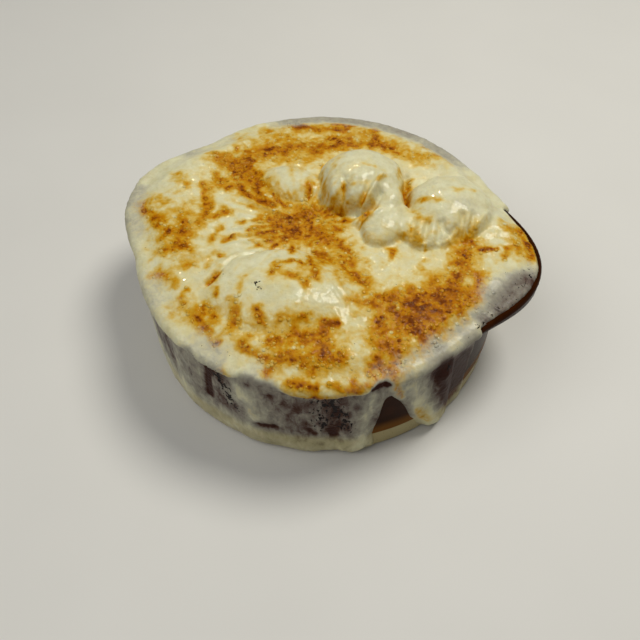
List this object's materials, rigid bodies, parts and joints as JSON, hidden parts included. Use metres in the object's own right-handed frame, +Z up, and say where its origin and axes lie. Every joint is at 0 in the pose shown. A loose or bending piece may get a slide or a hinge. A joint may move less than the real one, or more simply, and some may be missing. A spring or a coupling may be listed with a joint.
{
  "type": "french onion soup",
  "caption": "Baked onion soup in a low two-tone stoneware crock with tab handles, under lumpy melted cheese that is browned in patches and runs down the wall.",
  "frame": {"origin": "centre of the crock's flat foot, on the bowl's axis", "axes": "+Z up along the bowl's axis; the two handles point along +X and -X; the skin of cheese reaches the table on the -Y side"},
  "size_m": [0.1485, 0.1288, 0.0543],
  "materials": {
    "stoneware_glaze": "gloss",
    "melted_cheese": "satin"
  },
  "bodies": {
    "root": {"crock": "stoneware_glaze", "cheese_topped_soup": "melted_cheese"}
  },
  "joints": []
}
